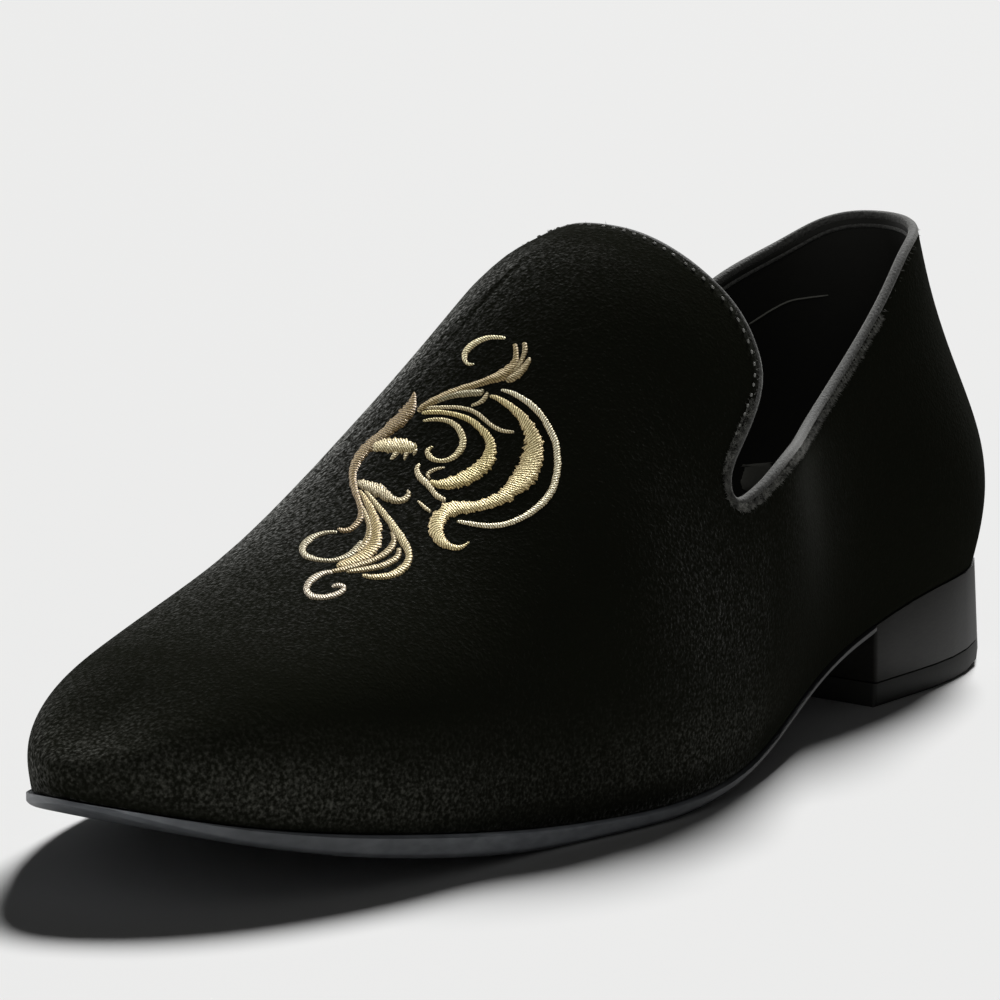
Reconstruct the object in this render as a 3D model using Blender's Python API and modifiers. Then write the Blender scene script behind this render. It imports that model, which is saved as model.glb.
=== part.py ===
"""Velvet slipper loafer, left shoe, as six pieces around one last.

Metres, +Z up, toe toward -Y, outer side of the foot toward +X. The shoe stands on the heel lift and on the
forefoot of the outsole, both on z = 0. Every piece takes its shape from the same last: a closed feather line
where upper and sole meet, a crown line over the instep, and one Bezier section between them at each place.
"""

import bmesh
import bpy
import numpy as np
from mathutils import Vector

# Driving sizes of the last, in metres
LAST_LENGTH = 0.294
BALL_WIDTH = 0.0888
INSTEP_HEIGHT = 0.0973
HEEL_PITCH = 0.0212
TOE_SPRING = 0.0184

# Driving sizes of the pieces, in metres
WALL = 0.002
GAP = 0.0003
SOLE_EDGE = 0.0042
SOLE_MARGIN = 0.0018
SOLE_BEVEL = 0.0008
HEEL_BREAST = 0.070
HEEL_RIM = 0.0035
HEEL_HOLLOW = 0.0020
HEEL_FLARE = 0.0016
LIFT_THICKNESS = 0.005
LIFT_BEVEL = 0.0005
BACK_BEVEL = 0.0030
BACK_BEVEL_LENGTH = 0.042
INSOLE_THICKNESS = 0.0025
BINDING_WIDTH = 0.0029

# Sections of the last, from the back of the heel to the toe tip. Shares of LAST_LENGTH: along and
# crown_along. Shares of BALL_WIDTH: outer and inner half width of the feather line, half width of the crown
# and lean, which is how far the side swings out. Share of INSTEP_HEIGHT: crown_up above the feather line.
# rise and drop are shares of the section's own height, pull is a share of its own width: they shape its curve.
SECTIONS = (
    # along  outer  inner  crown_along  crown_half  crown_up  rise  lean  pull  drop
    (0.000, 0.000, 0.000, 0.065, 0.000, 0.834, 0.38, 0.140, 0.38, 0.54),
    (0.010, 0.158, 0.158, 0.075, 0.101, 0.834, 0.38, 0.140, 0.38, 0.54),
    (0.041, 0.259, 0.259, 0.095, 0.169, 0.835, 0.38, 0.128, 0.38, 0.54),
    (0.092, 0.327, 0.327, 0.126, 0.203, 0.839, 0.38, 0.083, 0.37, 0.49),
    (0.167, 0.355, 0.355, 0.173, 0.214, 0.858, 0.35, 0.065, 0.39, 0.42),
    (0.255, 0.360, 0.338, 0.255, 0.180, 0.904, 0.35, 0.073, 0.47, 0.32),
    (0.347, 0.417, 0.310, 0.347, 0.090, 0.940, 0.40, 0.101, 0.50, 0.12),
    (0.439, 0.502, 0.320, 0.439, 0.000, 1.000, 0.53, 0.116, 0.95, 0.00),
    (0.534, 0.569, 0.364, 0.534, 0.000, 0.961, 0.53, 0.087, 0.68, 0.00),
    (0.629, 0.563, 0.439, 0.629, 0.000, 0.711, 0.58, 0.062, 0.83, 0.00),
    (0.711, 0.507, 0.462, 0.707, 0.000, 0.536, 0.61, 0.039, 0.87, 0.00),
    (0.793, 0.468, 0.438, 0.782, 0.000, 0.410, 0.65, 0.034, 0.89, 0.00),
    (0.867, 0.399, 0.372, 0.844, 0.000, 0.321, 0.69, 0.034, 0.91, 0.00),
    (0.929, 0.293, 0.270, 0.891, 0.000, 0.254, 0.71, 0.034, 0.91, 0.00),
    (0.973, 0.167, 0.157, 0.922, 0.000, 0.187, 0.71, 0.034, 0.91, 0.00),
    (0.993, 0.074, 0.072, 0.939, 0.000, 0.144, 0.71, 0.034, 0.91, 0.00),
    (1.000, 0.000, 0.000, 0.946, 0.000, 0.126, 0.71, 0.034, 0.91, 0.00),
)
FIRST_RIDGE_ROW = 7

# The sole seen from the side. along is a share of LAST_LENGTH. The height of the sole's lower edge is a share
# of HEEL_PITCH plus a share of TOE_SPRING, edge and middle are its thickness there as shares of SOLE_EDGE,
# reach is a share of SOLE_MARGIN.
SOLE_LINE = (
    # along  heel  spring  edge  reach  middle
    (0.000, 1.000, 0.000, 0.40, 0.4, 1.00),
    (0.075, 0.986, 0.000, 0.40, 0.4, 1.00),
    (0.160, 0.939, 0.000, 0.40, 0.4, 1.00),
    (0.255, 0.722, 0.000, 0.40, 0.4, 1.00),
    (0.364, 0.490, 0.000, 0.38, 0.4, 1.00),
    (0.500, 0.156, 0.000, 0.40, 0.5, 1.00),
    (0.636, 0.000, 0.000, 0.69, 0.9, 1.00),
    (0.721, 0.000, 0.021, 0.90, 1.0, 1.00),
    (0.806, 0.000, 0.184, 1.00, 1.0, 1.00),
    (0.891, 0.000, 0.410, 0.90, 0.9, 0.95),
    (0.959, 0.000, 0.710, 0.60, 0.6, 0.65),
    (1.000, 0.000, 1.000, 0.16, 0.2, 0.20),
)

# How the upper's grid lines run, from the back seam round the collar and the throat, and then down the ridge
# to the toe. top_along and top_up are where a line ends on the collar or the ridge, foot_along is where it
# starts on the feather line: along as a share of one side of the last, up as a share of the section there.
# swing_along and swing_up bend the line round the throat's notch.
PANEL_LINES = (
    # top_along  top_up  foot_along  swing_along  swing_up
    (0.000, 0.930, 0.000, 0.00, 0.00),
    (0.055, 0.935, 0.052, 0.00, 0.00),
    (0.105, 0.920, 0.100, 0.00, 0.00),
    (0.155, 0.875, 0.148, 0.00, 0.00),
    (0.200, 0.790, 0.192, 0.00, 0.00),
    (0.245, 0.680, 0.236, 0.00, 0.00),
    (0.295, 0.555, 0.282, 0.00, 0.00),
    (0.345, 0.455, 0.328, 0.00, 0.00),
    (0.400, 0.385, 0.374, 0.00, 0.00),
    (0.455, 0.352, 0.420, 0.00, 0.00),
    (0.498, 0.346, 0.463, 0.00, 0.00),
    (0.521, 0.375, 0.502, 0.01, 0.00),
    (0.519, 0.432, 0.536, 0.05, 0.10),
    (0.494, 0.465, 0.567, 0.09, 0.26),
    (0.466, 0.510, 0.596, 0.12, 0.38),
    (0.460, 0.585, 0.624, 0.11, 0.40),
    (0.460, 0.680, 0.651, 0.10, 0.41),
    (0.462, 0.820, 0.678, 0.09, 0.40),
    (0.460, 1.000, 0.706, 0.08, 0.36),
    (0.525, 1.000, 0.740, 0.06, 0.28),
    (0.600, 1.000, 0.777, 0.04, 0.20),
    (0.685, 1.000, 0.818, 0.02, 0.12),
    (0.775, 1.000, 0.862, 0.01, 0.06),
    (0.860, 1.000, 0.908, 0.00, 0.02),
    (0.930, 1.000, 0.954, 0.00, 0.00),
    (1.000, 1.000, 1.000, 0.00, 0.00),
)
THROAT_ROW = 18
LINES_PER_ROW = 2
PANEL_BANDS = 12

OUTER = 1
INNER = -1


def second_derivatives(knots, values, closed):
    """The cubic spline through values at knots: its second derivative at each knot."""
    count = len(values)
    steps = np.diff(knots)
    system = np.zeros((count, count))
    right = np.zeros_like(values)
    for i in range(count):
        if not closed and i in (0, count - 1):
            system[i, i] = 1.0
            continue
        before, after = (i - 1) % count, (i + 1) % count
        back, ahead = steps[i - 1], steps[i]
        system[i, before] += back
        system[i, i] += 2 * (back + ahead)
        system[i, after] += ahead
        right[i] = 6 * ((values[after] - values[i]) / ahead - (values[i] - values[before]) / back)
    return np.linalg.solve(system, right)


def spline(knots, values, closed=False):
    """A smooth curve through rows of values. A closed one has one more knot than values, for its length."""
    knots = np.asarray(knots, float)
    values = np.asarray(values, float)
    bends = second_derivatives(knots, values, closed)
    count = len(values)

    def at(where):
        if closed:
            where = knots[0] + (where - knots[0]) % (knots[-1] - knots[0])
        i = int(np.clip(np.searchsorted(knots, where, side="right") - 1, 0, len(knots) - 2))
        j = (i + 1) % count
        step = knots[i + 1] - knots[i]
        b = (where - knots[i]) / step
        a = 1 - b
        bow = ((a**3 - a) * bends[i] + (b**3 - b) * bends[j]) * step**2 / 6
        return a * values[i] + b * values[j] + bow

    return at


SOLE_AT = spline([row[0] * LAST_LENGTH for row in SOLE_LINE], [row[1:] for row in SOLE_LINE])


def sole_line(along):
    """The sole's lower edge: its height, thickness, reach past the feather line, and how much fuller the middle is."""
    heel, spring, edge, reach, middle = SOLE_AT(min(max(along, 0.0), LAST_LENGTH))
    lower = max(0.0, heel * HEEL_PITCH + spring * TOE_SPRING)
    return lower, edge * SOLE_EDGE, reach * SOLE_MARGIN, (middle - edge) * SOLE_EDGE


def feather_up(along):
    lower, edge, _, _ = sole_line(along)
    return lower + edge


def last_rails():
    """The closed feather line, crown line and section shapes, as splines over one lap round the last."""
    half = list(range(len(SECTIONS)))
    lap = [(OUTER, i) for i in half] + [(INNER, i) for i in half[-2:0:-1]]
    feather, crown, shape = [], [], []
    for side, i in lap:
        along, outer, inner, crown_along, crown_half, crown_up, rise, lean, pull, drop = SECTIONS[i]
        width = (outer if side == OUTER else inner) * BALL_WIDTH
        foot = along * LAST_LENGTH
        feather.append((side * width, foot, feather_up(foot)))
        crown.append((
            side * crown_half * BALL_WIDTH,
            crown_along * LAST_LENGTH,
            feather_up(foot) + crown_up * INSTEP_HEIGHT,
        ))
        shape.append((rise, lean * BALL_WIDTH, pull, drop))
    feather = np.array(feather)
    last_row = len(SECTIONS) - 1
    mirrored = [(len(lap) - i) % len(lap) for i in range(len(lap))]
    chords = np.linalg.norm(np.roll(feather, -1, axis=0) - feather, axis=1)
    steps = [(chords[i] + chords[mirrored[(i + 1) % len(lap)]]) / 2 for i in range(len(lap))]
    knots = np.concatenate([[0.0], np.cumsum(steps)])
    return (
        spline(knots, feather, closed=True),
        spline(knots, crown, closed=True),
        spline(knots, shape, closed=True),
        knots[last_row],
    )


FEATHER_AT, CROWN_AT, SHAPE_AT, SIDE_LENGTH = last_rails()
RIDGE_START = SECTIONS[FIRST_RIDGE_ROW][3] * LAST_LENGTH
RIDGE_AT = spline(
    [row[3] * LAST_LENGTH for row in SECTIONS[FIRST_RIDGE_ROW:]],
    [feather_up(row[0] * LAST_LENGTH) + row[5] * INSTEP_HEIGHT for row in SECTIONS[FIRST_RIDGE_ROW:]],
)
SLOPE_STEP = 0.0005


def ridge_slope(along):
    """How fast the crown climbs along the vamp, so that the two sides meet there without a crease."""
    if along <= RIDGE_START:
        return 0.0
    return float(RIDGE_AT(along + SLOPE_STEP) - RIDGE_AT(along - SLOPE_STEP)) / (2 * SLOPE_STEP)


def on_last(side, share, up):
    """The point of the last's surface at a share of one side, and up from feather line (0) to crown (1)."""
    where = side * share * SIDE_LENGTH
    foot, crown = FEATHER_AT(where), CROWN_AT(where)
    if crown[1] >= RIDGE_START:
        crown[0] = 0.0
    rise, lean, pull, drop = SHAPE_AT(where)
    out = (foot - crown)[:2]
    way = out / max(float(np.linalg.norm(out)), 1e-9)
    height = crown[2] - foot[2]
    low = foot + np.array([way[0] * lean, way[1] * lean, rise * height])
    high = crown + np.array([
        out[0] * pull,
        out[1] * pull,
        -drop * height + ridge_slope(crown[1]) * pull * out[1],
    ])
    down = 1 - up
    return down**3 * foot + 3 * up * down**2 * low + 3 * up**2 * down * high + up**3 * crown


def world(point):
    """From across, along and up on the last to the part's frame, where the toe points to -Y."""
    return Vector((float(point[0]), -float(point[1]), float(point[2])))


def material(name, colour, roughness):
    made = bpy.data.materials.new(name)
    made.use_nodes = True
    shader = made.node_tree.nodes["Principled BSDF"]
    shader.inputs["Base Color"].default_value = (*colour, 1.0)
    shader.inputs["Roughness"].default_value = roughness
    shader.inputs["Metallic"].default_value = 0.0
    return made


def add_object(name, data, finish, collection, frame):
    made = bpy.data.objects.new(name, data)
    data.materials.append(finish)
    made.parent = frame
    collection.objects.link(made)
    return made


def outline_place(share):
    """A share of one side as a place along the last."""
    return float(FEATHER_AT(share * SIDE_LENGTH)[1])


def share_at(along):
    """The share of one side whose feather line is at a place along the last, by halving."""
    low, high = 0.0, 1.0
    for _ in range(40):
        middle = (low + high) / 2
        if outline_place(middle) < along:
            low = middle
        else:
            high = middle
    return (low + high) / 2


def outline(side, share, grow):
    """A point of the feather line's plan, moved out by grow at a right angle to the line."""
    step = 0.002
    where = side * share * SIDE_LENGTH
    here = FEATHER_AT(where)
    run = (FEATHER_AT(where + step) - FEATHER_AT(where - step))[:2]
    run /= np.linalg.norm(run)
    out = np.array([run[1], -run[0]])
    return here[:2] + out * grow


def plate(name, shares, across, layers):
    """A closed plate under or inside the shoe, as a mesh.

    It starts as a grid with a row at each share of the last and so many faces across, and each layer after the
    first is extruded from the one before. A layer gives how far its outline grows past the feather line at a
    place, and the height of a point from its place along and its fullness, 0 at the edge and 1 in the middle.
    """
    grid = bmesh.new()
    rows = len(shares) - 1
    bmesh.ops.create_grid(grid, x_segments=across, y_segments=rows, size=1.0)

    def settle(vertices, places, layer):
        grow_at, up_at = layer
        for vertex in vertices:
            j, i = places[vertex]
            share = shares[i]
            side_way = 2 * j / across - 1
            grow = grow_at(outline_place(share), i)
            outer = outline(OUTER, share, grow)
            inner = outline(INNER, share, grow)
            plan = inner + (outer - inner) * (side_way + 1) / 2
            middle = 1 - side_way**2
            fullness = middle * min(1.0, float(np.linalg.norm(outer - inner)) / (BALL_WIDTH / 2))
            vertex.co = world((plan[0], plan[1], up_at(plan[1], fullness)))

    places = {v: (round((v.co.x + 1) / 2 * across), round((v.co.y + 1) / 2 * rows)) for v in grid.verts}
    faces = list(grid.faces)
    settle(list(grid.verts), places, layers[0])
    for number, layer in enumerate(layers[1:]):
        order = sorted({v for face in faces for v in face.verts}, key=lambda v: places[v])
        spots = {tuple(v.co): places[v] for v in order}
        made = bmesh.ops.extrude_face_region(grid, geom=faces, use_keep_orig=True)["geom"]
        new = [item for item in made if isinstance(item, bmesh.types.BMVert)]
        new_places = {v: spots[tuple(v.co)] for v in new}
        if number > 0:
            bmesh.ops.delete(grid, geom=faces, context="FACES")
        faces = [item for item in made if isinstance(item, bmesh.types.BMFace)]
        settle(new, new_places, layer)
        places = new_places
    bmesh.ops.remove_doubles(grid, verts=grid.verts, dist=GAP / 5)
    bmesh.ops.recalc_face_normals(grid, faces=grid.faces)
    mesh = bpy.data.meshes.new(name)
    grid.to_mesh(mesh)
    grid.free()
    return mesh


def even(low, high, count):
    return [low + (high - low) * i / count for i in range(count + 1)]


def sole_bottom(along, fullness):
    """Underside of the outsole: thin at its edge, full in the middle, and never below the floor."""
    lower, _, _, fuller = sole_line(along)
    return max(0.0, lower - GAP - fuller * fullness)


def outsole_mesh():
    seat = even(0.0, share_at(HEEL_BREAST), 9)
    ahead = even(share_at(HEEL_BREAST + GAP), 1.0, 27)
    step_row = len(seat)

    def reach(along, row):
        return -HEEL_RIM if row < step_row else sole_line(along)[2]

    def reach_in(along, row):
        return reach(along, row) - SOLE_BEVEL

    return plate("outsole", seat + ahead, 8, (
        (reach, lambda along, _: feather_up(along) - GAP),
        (reach, lambda along, fullness: sole_bottom(along, fullness) + SOLE_BEVEL),
        (reach_in, sole_bottom),
    ))


def back_bevel(along):
    """How far the lift's tread rises behind its flat part, toward the back of the heel."""
    return BACK_BEVEL * max(0.0, 1 - along / BACK_BEVEL_LENGTH) ** 2


def lift_top(along):
    return LIFT_THICKNESS + back_bevel(along) / 2


def heel_grow(up):
    """The heel flares a little toward the floor, most at its back."""
    def at(along, _row):
        seat = feather_up(along)
        return GAP + HEEL_FLARE * (1 - along / HEEL_BREAST) * (1 - min(up(along), seat) / seat)
    return at


def heel_layer(up, inset=0.0):
    grow = heel_grow(up)
    return (lambda along, row: grow(along, row) - inset, lambda along, _: up(along))


def hollow_breast(mesh):
    """The heel's front face curves in a little across the shoe."""
    front = -HEEL_BREAST
    widest = max(abs(v.co.x) for v in mesh.vertices)
    for vertex in mesh.vertices:
        depth = max(0.0, 1 - (vertex.co.x / widest) ** 2)
        nearness = max(0.0, 1 - (vertex.co.y - front) / (HEEL_BREAST / 4))
        vertex.co.y += HEEL_HOLLOW * depth * min(1.0, nearness)


def heel_block_mesh():
    shares = even(0.0, share_at(HEEL_BREAST), 10)
    mesh = plate("heel", shares, 8, (
        heel_layer(lambda along: feather_up(along) - GAP),
        heel_layer(lambda along: lift_top(along) + GAP),
    ))
    hollow_breast(mesh)
    return mesh


def heel_lift_mesh():
    shares = even(0.0, share_at(HEEL_BREAST), 10)
    mesh = plate("heel_lift", shares, 8, (
        heel_layer(lift_top),
        heel_layer(lambda along: back_bevel(along) + LIFT_BEVEL),
        heel_layer(back_bevel, LIFT_BEVEL),
    ))
    hollow_breast(mesh)
    return mesh


def seat_cutter_mesh():
    """The room in the heel for the outsole's seat, with a clearance all round and past the breast."""
    shares = even(0.0, share_at(HEEL_BREAST + 3 * HEEL_HOLLOW), 10)
    room = -HEEL_RIM + GAP
    return plate("seat_cutter", shares, 8, (
        (lambda _along, _row: room, lambda along, _: feather_up(along) + GAP),
        (lambda _along, _row: room, lambda along, fullness: sole_bottom(along, fullness) - GAP),
    ))


def insole_mesh():
    inset = -(WALL + 2 * GAP)
    return plate("insole", even(0.0, 1.0, 30), 6, (
        (lambda _along, _row: inset, lambda along, _: feather_up(along) + INSOLE_THICKNESS),
        (lambda _along, _row: inset, lambda along, _: feather_up(along)),
    ))


PANEL_AT = spline(range(len(PANEL_LINES)), PANEL_LINES)
ROWS_A_SIDE = len(PANEL_LINES) - 1
LINES_A_SIDE = ROWS_A_SIDE * LINES_PER_ROW


def panel_point(side, row, band):
    """A point of the upper: on the grid line of a row of PANEL_LINES, band from feather line (0) to top (1)."""
    top_along, top_up, foot_along, swing_along, swing_up = PANEL_AT(row)
    if row >= THROAT_ROW:
        top_up = 1.0
    middle_along = (top_along + foot_along) / 2 + swing_along
    middle_up = top_up / 2 + swing_up
    down = 1 - band
    along = down**2 * foot_along + 2 * band * down * middle_along + band**2 * top_along
    up = 2 * band * down * middle_up + band**2 * top_up
    return on_last(side, min(max(along, 0.0), 1.0), min(up, 1.0))


def upper_mesh():
    """The upper's outer face: a grid wrapped round the last, joined along the ridge and up the back."""
    lines = 2 * LINES_A_SIDE
    grid = bmesh.new()
    bmesh.ops.create_grid(grid, x_segments=lines, y_segments=PANEL_BANDS, size=1.0)
    for vertex in grid.verts:
        line = round((vertex.co.x + 1) / 2 * lines)
        band = round((vertex.co.y + 1) / 2 * PANEL_BANDS) / PANEL_BANDS
        side = OUTER if line <= LINES_A_SIDE else INNER
        row = min(line, lines - line) / LINES_PER_ROW
        vertex.co = world(panel_point(side, row, band))
    bmesh.ops.remove_doubles(grid, verts=grid.verts, dist=GAP / 3)
    folded = [v for v in grid.verts if len(v.link_edges) == 2 and not v.is_boundary]
    bmesh.ops.dissolve_verts(grid, verts=folded)
    bmesh.ops.recalc_face_normals(grid, faces=grid.faces)
    widest = max(grid.faces, key=lambda face: face.calc_center_median().x)
    if widest.normal.x < 0:
        bmesh.ops.reverse_faces(grid, faces=grid.faces)
    mesh = bpy.data.meshes.new("upper")
    grid.to_mesh(mesh)
    grid.free()
    return mesh


def add_upper(finish, collection, frame):
    mesh = upper_mesh()
    mesh.shade_smooth()
    upper = add_object("upper", mesh, finish, collection, frame)
    wall = upper.modifiers.new("wall", "SOLIDIFY")
    wall.thickness = WALL
    wall.offset = -1.0
    wall.use_even_offset = True
    return upper


def binding_point(side, row):
    """Middle of the binding above the upper's top edge, half a wall in and a gap plus half a binding up."""
    step = 0.02
    edge = panel_point(side, row, 1.0)
    into = edge - panel_point(side, row, 1.0 - step)
    ahead = panel_point(side, min(row + step, THROAT_ROW), 1.0)
    behind = panel_point(side, max(row - step, 0.0), 1.0)
    run = ahead - behind
    if row <= 0:
        run = np.array([1.0, 0.0, 0.0])
    if row >= THROAT_ROW:
        run = np.array([-1.0, 0.0, 0.0])
    run /= np.linalg.norm(run)
    outward = side * np.cross(run, into) if 0 < row < THROAT_ROW else np.cross(run, into)
    outward /= np.linalg.norm(outward)
    away = into - run * np.dot(into, run)
    away /= np.linalg.norm(away)
    return edge - outward * WALL / 2 + away * (GAP + BINDING_WIDTH / 2)


def add_binding(finish, collection, frame):
    """A round binding along the whole top edge of the upper, as a closed tube."""
    rows = [i / LINES_PER_ROW for i in range(THROAT_ROW * LINES_PER_ROW + 1)]
    lap = [(OUTER, row) for row in rows] + [(INNER, row) for row in rows[-2:0:-1]]
    curve = bpy.data.curves.new("collar_binding", "CURVE")
    curve.dimensions = "3D"
    curve.bevel_depth = BINDING_WIDTH / 2
    curve.bevel_resolution = 2
    path = curve.splines.new("POLY")
    path.points.add(len(lap) - 1)
    for point, (side, row) in zip(path.points, lap):
        point.co = (*world(binding_point(side, row)), 1.0)
    path.use_cyclic_u = True
    return add_object("collar_binding", curve, finish, collection, frame)


def add_heel(finish, collection, frame, cutters):
    heel = add_object("heel", heel_block_mesh(), finish, collection, frame)
    cutter = add_object("seat_cutter", seat_cutter_mesh(), finish, cutters, frame)
    cutter.hide_render = True
    cutter.display_type = "WIRE"
    room = heel.modifiers.new("seat", "BOOLEAN")
    room.operation = "DIFFERENCE"
    room.solver = "EXACT"
    room.object = cutter
    return heel


def main():
    for old in list(bpy.data.objects):
        bpy.data.objects.remove(old)
    shoe = bpy.data.collections.new("velvet_slipper_loafer")
    cutters = bpy.data.collections.new("cutters")
    bpy.context.scene.collection.children.link(shoe)
    bpy.context.scene.collection.children.link(cutters)

    velvet = material("velvet", (0.012, 0.012, 0.011), 0.9)
    tape = material("tape", (0.055, 0.055, 0.052), 0.75)
    sole = material("sole_rubber", (0.045, 0.052, 0.056), 0.5)
    heel_stack = material("heel_stack", (0.034, 0.032, 0.030), 0.6)
    lift = material("lift_rubber", (0.024, 0.024, 0.022), 0.7)
    sock = material("sock", (0.030, 0.030, 0.028), 0.8)

    frame = bpy.data.objects.new("shoe_frame", None)
    shoe.objects.link(frame)

    upper = add_upper(velvet, shoe, frame)
    add_binding(tape, shoe, frame)
    outsole = add_object("outsole", outsole_mesh(), sole, shoe, frame)
    add_heel(heel_stack, shoe, frame, cutters)
    add_object("heel_lift", heel_lift_mesh(), lift, shoe, frame)
    add_object("insole", insole_mesh(), sock, shoe, frame)

    reach = [v.co for piece in (upper, outsole) for v in piece.data.vertices]
    for axis in (0, 1):
        values = [co[axis] for co in reach]
        frame.location[axis] = -(min(values) + max(values)) / 2


main()
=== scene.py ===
# %% [markdown]
# # A velvet slipper loafer
#
# The frame holds the plain solids of one left shoe: the upper, the binding round its top edge, the outsole,
# the heel with its lift, and the insole. This lesson dresses them: velvet with its nap, a corded binding
# with a row of stitches, gold thread embroidery on the vamp, a lining, and the rubber of sole and heel.
# Lengths are in metres, +Z is up, the toe points to -Y and the outer side of the foot to +X.

import math

import bpy
import numpy as np
from mathutils import Matrix, Vector


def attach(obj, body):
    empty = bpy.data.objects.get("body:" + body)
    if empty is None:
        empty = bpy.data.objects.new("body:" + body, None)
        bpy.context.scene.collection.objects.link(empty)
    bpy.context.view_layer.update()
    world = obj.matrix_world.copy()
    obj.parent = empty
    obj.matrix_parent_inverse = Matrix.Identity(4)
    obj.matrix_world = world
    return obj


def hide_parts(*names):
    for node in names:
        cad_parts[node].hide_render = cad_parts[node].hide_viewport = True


MM = 0.001
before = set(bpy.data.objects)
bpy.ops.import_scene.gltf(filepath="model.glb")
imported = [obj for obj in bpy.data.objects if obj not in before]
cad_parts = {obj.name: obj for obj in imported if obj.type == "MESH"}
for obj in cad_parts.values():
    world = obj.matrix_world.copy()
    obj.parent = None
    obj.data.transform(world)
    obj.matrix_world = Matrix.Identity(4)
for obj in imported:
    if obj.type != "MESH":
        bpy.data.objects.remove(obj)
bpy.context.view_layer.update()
print("nodes:", sorted(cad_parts))

# %% [markdown]
# ## The camera
#
# The photograph looks at the shoe from low in front of its outer side, with a long lens. Camera and shoe
# were worked out together from the outlines, so the camera is placed by two turns, a distance, and how far
# it stands to the side of and above the point that it faces.

# %% Place the camera
CAMERA_TURN = math.radians(34.8)
CAMERA_RISE = math.radians(9.56)
CAMERA_ROLL = math.radians(0.38)
CAMERA_DISTANCE = 0.873
CAMERA_ASIDE = -9.0 * MM
CAMERA_ABOVE = 11.2 * MM
FACED_POINT = Vector((-4.8 * MM, -1.0 * MM, 40.0 * MM))
FOCAL_LENGTH = 158.2
FILM_WIDTH = 36.0
PHOTO_WIDTH = 1000


def camera_axes():
    """Right, up and back of the camera, as unit vectors."""
    back = Vector((
        math.sin(CAMERA_TURN) * math.cos(CAMERA_RISE),
        -math.cos(CAMERA_TURN) * math.cos(CAMERA_RISE),
        math.sin(CAMERA_RISE),
    ))
    level = Vector((math.cos(CAMERA_TURN), math.sin(CAMERA_TURN), 0.0))
    upright = back.cross(level)
    right = level * math.cos(CAMERA_ROLL) + upright * math.sin(CAMERA_ROLL)
    up = upright * math.cos(CAMERA_ROLL) - level * math.sin(CAMERA_ROLL)
    return right, up, back


RIGHT, UP, BACK = camera_axes()
EYE = FACED_POINT + BACK * CAMERA_DISTANCE + RIGHT * CAMERA_ASIDE + UP * CAMERA_ABOVE
bpy.ops.object.select_all(action="DESELECT")
bpy.ops.object.camera_add(location=EYE)
camera = bpy.context.active_object
camera.name = "photo_camera"
camera.rotation_euler = Matrix((RIGHT, UP, BACK)).transposed().to_euler()
camera.data.lens = FOCAL_LENGTH
camera.data.sensor_width = FILM_WIDTH
camera.data.clip_start = 0.01
bpy.context.scene.camera = camera
print("camera at", [round(value, 3) for value in EYE])

# %% [markdown]
# ## Floor and light
#
# The shoe stands on a plain pale floor. A broad sun from high behind throws the dark soft shadow that falls
# toward the camera. A weaker and lower one, behind on the left, lights the nap along the ridge of the vamp.
# A lamp beside the camera shows the gold and the edge of the sole, and a dim sky keeps the shadows open.

# %% Add the floor
FLOOR_SIZE = 60.0
bpy.ops.object.select_all(action="DESELECT")
bpy.ops.mesh.primitive_plane_add(size=FLOOR_SIZE)
floor = bpy.context.active_object
floor.name = "floor"
floor_paint = bpy.data.materials.new("floor_paint")
floor_paint.use_nodes = True
floor_shader = floor_paint.node_tree.nodes["Principled BSDF"]
floor_shader.inputs["Base Color"].default_value = (0.86, 0.86, 0.855, 1.0)
floor_shader.inputs["Roughness"].default_value = 0.9
floor_shader.inputs["Specular IOR Level"].default_value = 0.1
floor.data.materials.append(floor_paint)
print("floor side:", FLOOR_SIZE, "m")

# %% Add the lights
def add_sun(name, side, rise, energy, width):
    """A distant light behind the shoe, side to the right of the middle. rise and width are angles."""
    flat = (-BACK + RIGHT * side).to_2d().normalized() * math.cos(rise)
    way = Vector((flat.x, flat.y, math.sin(rise)))
    bpy.ops.object.light_add(type="SUN", location=way)
    made = bpy.context.active_object
    made.name = name
    made.rotation_euler = way.to_track_quat("Z", "Y").to_euler()
    made.data.energy = energy
    made.data.angle = width
    return made


soft_sun = add_sun("soft_sun", side=0.27, rise=math.radians(45), energy=4.15, width=math.radians(16))
nap_light = add_sun("nap_light", side=-1.1, rise=math.radians(24), energy=1.2, width=math.radians(35))

LAMP_ASIDE = -0.15
LAMP_ABOVE = 0.45
bpy.ops.object.light_add(type="AREA", location=EYE + RIGHT * LAMP_ASIDE + UP * LAMP_ABOVE)
front_light = bpy.context.active_object
front_light.name = "front_light"
front_light.rotation_euler = (front_light.location - FACED_POINT).to_track_quat("Z", "Y").to_euler()
front_light.data.energy = 3.0
front_light.data.size = 0.9

sky = bpy.data.worlds.new("even_sky")
bpy.context.scene.world = sky
sky.use_nodes = True
sky.node_tree.nodes["Background"].inputs["Color"].default_value = (0.93, 0.93, 0.925, 1.0)
sky.node_tree.nodes["Background"].inputs["Strength"].default_value = 0.03
bpy.context.scene.view_settings.view_transform = "Standard"
print("lights:", soft_sun.name, nap_light.name, front_light.name)

# %% [markdown]
# ## Small helpers
#
# Each CAD node is a mesh of loose triangles. To smooth one, it is copied, its corners are merged and its
# triangles are joined back into the four-sided faces of the grid that it was made from. Materials get small
# helpers too: a new shader, a noise on Object coordinates, a ramp of colours, a bump, a painted attribute,
# a mix of two colours, and the last link to the shader.

# %% Helpers for meshes
FLAT_PAIR = math.radians(60)
SAME_CORNER = 0.005 * MM
RING_JOINT = 0.001 * MM


def pick(piece):
    """Makes a piece the only selected one, and the active one."""
    bpy.ops.object.select_all(action="DESELECT")
    piece.select_set(True)
    bpy.context.view_layer.objects.active = piece


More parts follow.
